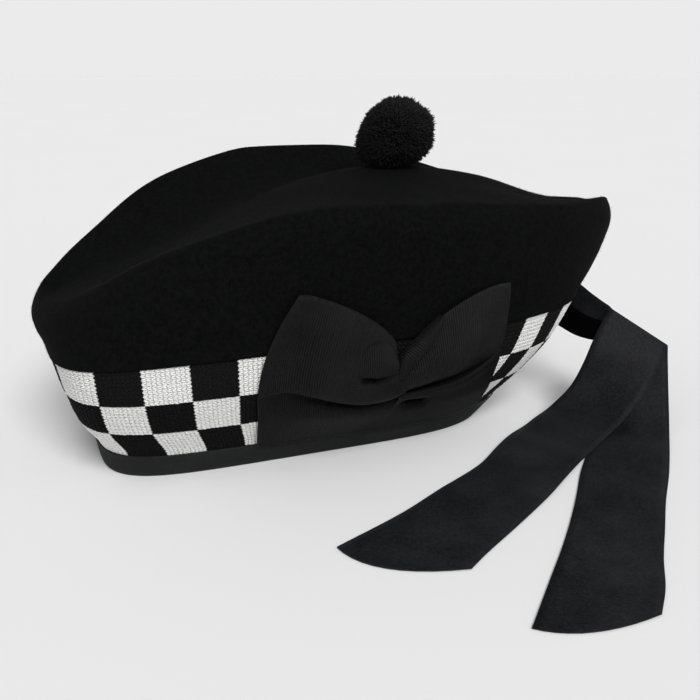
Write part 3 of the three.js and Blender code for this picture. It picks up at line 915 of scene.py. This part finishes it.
def settle(points):
    """Points round the ball's middle, flattened, leaning and sagging, put on the crown."""
    share = points[..., 2:] / TOORIE_REACH
    spread = 1 + TOORIE_SAG * np.clip(-share, 0, 1)
    points = points * np.concatenate([spread, spread, 0 * share + TOORIE_FLATTEN], axis=-1)
    points[..., 1:2] += TOORIE_LEAN * share
    return points + TOORIE_CENTRE


def build_toorie():
    draw = np.random.default_rng(YARN_SEED)
    clumps = unit(sphere_points(CLUMPS) + draw.normal(size=(CLUMPS, 3)) * CLUMP_SCATTER)
    clump_reach = draw.normal(size=CLUMPS) * CLUMP_UNEVEN
    way = unit(sphere_points(YARN_ENDS) + draw.normal(size=(YARN_ENDS, 3)) * END_SCATTER)
    near = np.argmax(way @ clumps.T, axis=1)
    close = np.sum(way * clumps[near], axis=1)
    stray = draw.normal(size=(YARN_ENDS, 3)) * END_STRAY
    lean = unit(way + (clumps[near] - way) * END_GATHER + stray)
    dome = np.clip((close - DOME_EDGE) / DOME_WIDTH, 0, 1)
    lump = LUMP_RISE * soft_noise(way * LUMP_SCALE, LUMP_SIZE, LUMP_SEED)
    uneven = draw.normal(size=YARN_ENDS) * END_UNEVEN
    reach = TOORIE_REACH + clump_reach[near] + DOME_RISE * dome - DOME_SINK + lump + uneven
    root = way * (TOORIE_CORE - ROOT_DEPTH)
    tip = lean * reach[:, None]
    side = unit(np.cross(way, draw.normal(size=(YARN_ENDS, 3))))
    other = np.cross(way, side)
    corners = []
    for share, width in END_WIDTHS:
        corners += prong(root + (tip - root) * share, side, other, width)
    points = settle(np.stack([*corners, tip], axis=1))
    kept = points[points[:, -1, 2] > TOORIE_SEAT - SEAT_SLACK]
    kept[:, :, 2] = np.maximum(kept[:, :, 2], TOORIE_SEAT)
    faces = repeated(END_FACES, kept.shape[1], len(kept))
    piece = make_piece("toorie_yarn", kept.reshape(-1, 3), faces, [POMPOM])
    build_core()


def build_core():
    """The dense middle of the ball behind the yarn ends."""
    turn = 2 * math.pi * np.arange(CORE_AROUND) / CORE_AROUND
    lean = np.linspace(CORE_POLE, math.pi - CORE_POLE, CORE_ROWS)[::-1, None]
    level = np.broadcast_to(np.cos(lean), (CORE_ROWS, CORE_AROUND))
    rows = np.stack([np.sin(lean) * np.cos(turn), np.sin(lean) * np.sin(turn), level], axis=2)
    lump = CORE_LUMP * soft_noise(rows * LUMP_SCALE, CORE_LUMP_SIZE, CORE_SEED)[:, :, None]
    rows = settle(rows * (TOORIE_CORE + CORE_PADDING + lump))
    rows[:, :, 2] = np.maximum(rows[:, :, 2], TOORIE_SEAT - CORE_SINK)
    points = rows.reshape(-1, 3)
    index = np.arange(len(points)).reshape(rows.shape[:2])
    faces = grid_faces(index, True)
    foot, crest = index[0], index[-1]
    caps = [np.stack([foot[1:-1], foot[:1].repeat(CORE_AROUND - 2), foot[2:]], axis=1),
            np.stack([crest[:1].repeat(CORE_AROUND - 2), crest[1:-1], crest[2:]], axis=1)]
    split = np.concatenate([faces[:, [0, 1, 2]], faces[:, [0, 2, 3]], *caps])
    piece = make_piece("toorie_core", points, split, [POMPOM])
    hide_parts("toorie")


build_toorie()


# Ribbon tails

TAIL_WALL = 0.55
TAIL_RIB_PITCH = 0.9
TAIL_RIB_DEPTH = 0.07
TAIL_SAMPLES = 3
TAIL_ACROSS = 11
STRIP_SAMPLES = 400
END_BLEND = 34.0
END_STEPS = 8
# Each row is a cut across a strip: x, y and z of its left edge, then of its right edge.
TAIL_FRONT = (
    (62, 170, 60, 86.5, 192, 42.5),
    (67, 158, 46, 91, 186, 36),
    (68, 151, 31, 94, 178, 27),
    (66, 145, 17, 97, 168, 17),
    (64.5, 135, 7, 101, 154, 8),
    (71.5, 117, 2.6, 109, 135, 2.8),
    (85, 93, 1.9, 126, 108, 2.2),
    (106, 65, 0.9, 146, 79, 1.4),
    (121, 36, 0.7, 162, 53, 0.7),
    (136, 8, 0.7, 176, 30, 0.7),
    (150.5, -26, 0.7, 184, 18, 0.7),
)
TAIL_BACK = (
    (60.8, 171.4, 59, 85.3, 193.4, 41.5),
    (66, 163, 43, 90.5, 190, 34.5),
    (73, 160, 24, 97, 187, 20),
    (85, 152, 4.5, 113, 176, 5),
    (104, 133, 0.6, 142, 151.5, 0.6),
    (129, 109, 0.6, 169, 126, 0.6),
    (156, 86, 0.6, 187, 110, 0.6),
    (181, 63, 0.6, 206, 93, 0.6),
    (203, 41, 0.6, 222, 80, 0.6),
    (224, 20, 0.6, 234, 68, 0.6),
)
FOLD_STRIP = (
    (20, 151.6, 46.5, 18, 167.7, 69.5),
    (30, 159, 42, 29, 171.5, 66.8),
    (42, 164, 38.5, 42, 172.5, 63.0),
    (52, 167, 38.5, 53, 172.5, 60.8),
    (58.2, 168.5, 39.5, 60.0, 171.7, 60.0),
    (67.5, 166.3, 41.2, 62.4, 173.7, 57.0),
)
# The start of the ribbon is creased along its length: share up its width, how far the crease
# stands out, which way, and how bluntly it starts and ends.
CREASE_AT = 0.55
CREASE_OUT = 7.0
CREASE_WAY = (0.35, -0.8, 0.0)
CREASE_BLUNT = 0.7
# Slack in the tails: wave length, height, and the share of the length it dies out over.
SLACK = (27.0, 0.8, 0.75)
# The slack at the edges and added in the middle, how it twists across, and how fast it sets in.
SLACK_EDGE = 0.3
SLACK_MIDDLE = 0.7
SLACK_TWIST = 0.5
SLACK_TURN = 3
SLACK_START = 12
ACROSS = np.linspace(0, 1, TAIL_ACROSS)
MIDDLE_BULGE = 4 * ACROSS * (1 - ACROSS)


def add_slack(grid, travel, share):
    """A tail's soft waves, which die out toward its end."""
    wave, height, reach = SLACK
    ripple = height * np.sin(2 * math.pi * travel / wave) * np.clip(1 - share / reach, 0, 1)
    twist = 1 + SLACK_TWIST * np.cos(SLACK_TURN * ACROSS + 1)
    tilt = (SLACK_EDGE + SLACK_MIDDLE * MIDDLE_BULGE) * twist
    begin = np.clip(share * SLACK_START, 0, 1)[:, None]
    return grid + normals_of(grid, False) * (ripple[:, None] * tilt[None, :] * begin)[..., None]


def add_crease(grid, share):
    """The lengthwise crease of the ribbon's start."""
    peak = np.minimum(ACROSS / CREASE_AT, (1 - ACROSS) / (1 - CREASE_AT))
    out = np.array(CREASE_WAY) * CREASE_OUT
    return grid + (np.sin(math.pi * share) ** CREASE_BLUNT)[:, None, None] * peak[None, :, None] * out


def strip_grid(table, end_round):
    """Middle points of a strip; a tail has a rounded end and slack, the start has a crease."""
    edges = np.array(table, dtype=float).reshape(len(table), 2, 3)
    levels = np.linspace(0, len(table) - 1, STRIP_SAMPLES)
    steps = np.linalg.norm(np.diff(loft(edges, levels).mean(axis=1), axis=0), axis=1)
    lengths = np.concatenate([[0], np.cumsum(steps)])
    ribs = int(lengths[-1] / TAIL_RIB_PITCH)
    travel = np.linspace(0, lengths[-1], ribs * TAIL_SAMPLES + 1)
    edges = loft(edges, np.interp(travel, lengths, levels))
    across = ACROSS[None, :, None]
    grid = edges[:, :1] * (1 - across) + edges[:, 1:] * across
    last = unit(edges[-1].mean(axis=0) - edges[-END_STEPS].mean(axis=0))
    ease = np.clip((travel - lengths[-1] + END_BLEND) / END_BLEND, 0, 1) ** 2
    grid = grid + ease[:, None, None] * MIDDLE_BULGE[None, :, None] * last * end_round
    share = travel / lengths[-1]
    if end_round:
        return add_slack(grid, travel, share)
    return add_crease(grid, share)


def build_tails():
    # The ribbon's start is painted dark below its crease, standing in for the shade under the flap.
    shade_below_crease = np.arange(TAIL_ACROSS - 1) < round(CREASE_AT * (TAIL_ACROSS - 1))
    on_tails = ["table", "tail_back"]
    on_hat = ["crown_felt", "tail_back"]
    for name, table, end_round, node, cut, held, rests, slots in (
            ("tail_front", TAIL_FRONT, 10, "ribbon_tail_front", (0.043, 0.250), "laid", on_tails, 0),
            ("tail_back", TAIL_BACK, 6.5, "ribbon_tail_back", (0.040, 0.257), "laid", ["table"], 0),
            ("ribbon_start", FOLD_STRIP, 0, "ribbon_fold", (0.027, 0.050), "folded", on_hat, shade_below_crease)):
        grid = add_ribs(strip_grid(table, end_round), TAIL_RIB_DEPTH, TAIL_SAMPLES, 0)
        piece = sheet_piece(name, grid, TAIL_WALL, [RIBBON_TAIL, RIBBON_PAINTED_SHADE], slots)
        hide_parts(node)


build_tails()


# Stage, light and camera

FLOOR_HALF = 30.0
FLOOR_DARK = 0.905
FLOOR_LIGHT = 0.915
PAPER = 0.83
SKY = 0.40
# Brightness of the surroundings between the horizon and overhead: height, level.
SKY_STOPS = ((0.10, PAPER), (0.30, SKY))
SUN_POWER = 2.2
SUN_SPREAD = 30.0
SUN_WAY = (-0.70, 0.0, -0.71)
IMAGE_SIZE = 700
FOCAL_PIXELS = 830
SENSOR = 36.0
CLIP_NEAR = 0.01
CLIP_FAR = 200
CAMERA_PLACE = (0.4299, -0.1275, 0.186)
CAMERA_WAY = (-0.8849, 0.3397, -0.3186)


def build_stage():
    material, tree, body = shader("pale_table", roughness=0.9, specular=0.05)
    cloudy = noise(tree, scale=3.0, detail=2, roughness=0.5)
    paper = ramp(tree, cloudy, (FLOOR_DARK,) * 3, (FLOOR_LIGHT,) * 3)
    tree.links.new(paper, body.inputs["Base Color"])
    mesh = bpy.data.meshes.new("table")
    corners = [(-FLOOR_HALF, -FLOOR_HALF, 0), (FLOOR_HALF, -FLOOR_HALF, 0),
               (FLOOR_HALF, FLOOR_HALF, 0), (-FLOOR_HALF, FLOOR_HALF, 0)]
    mesh.from_pydata(corners, [], [(0, 1, 2, 3)])
    mesh.materials.append(material)
    table = bpy.data.objects.new("table", mesh)
    bpy.context.scene.collection.objects.link(table)


def build_light():
    world = bpy.data.worlds.new("studio")
    world.use_nodes = True
    tree = world.node_tree
    place = tree.nodes.new("ShaderNodeTexCoord")
    split = tree.nodes.new("ShaderNodeSeparateXYZ")
    tree.links.new(place.outputs["Generated"], split.inputs["Vector"])
    node = tree.nodes.new("ShaderNodeValToRGB")
    stops = node.color_ramp.elements
    stops[0].position = 0.0
    stops[0].color = (PAPER, PAPER, PAPER, 1)
    stops[1].position = 1.0
    stops[1].color = (SKY, SKY, SKY, 1)
    for position, level in SKY_STOPS:
        stop = stops.new(position)
        stop.color = (level, level, level, 1)
    tree.links.new(split.outputs["Z"], node.inputs["Fac"])
    tree.links.new(node.outputs["Color"], tree.nodes["Background"].inputs["Color"])
    bpy.context.scene.world = world
    lamp = bpy.data.lights.new("softbox", "SUN")
    lamp.energy = SUN_POWER
    lamp.angle = math.radians(SUN_SPREAD)
    softbox = bpy.data.objects.new("softbox", lamp)
    softbox.rotation_euler = Vector(SUN_WAY).to_track_quat("-Z", "Y").to_euler()
    bpy.context.scene.collection.objects.link(softbox)


def build_camera():
    lens = bpy.data.cameras.new("camera")
    lens.sensor_fit = "HORIZONTAL"
    lens.sensor_width = SENSOR
    lens.lens = FOCAL_PIXELS / IMAGE_SIZE * SENSOR
    lens.clip_start = CLIP_NEAR
    lens.clip_end = CLIP_FAR
    camera = bpy.data.objects.new("camera", lens)
    camera.location = CAMERA_PLACE
    camera.rotation_euler = Vector(CAMERA_WAY).to_track_quat("-Z", "Y").to_euler()
    bpy.context.scene.collection.objects.link(camera)
    bpy.context.scene.camera = camera


build_stage()
build_light()
build_camera()
bpy.context.scene.view_settings.view_transform = "Standard"
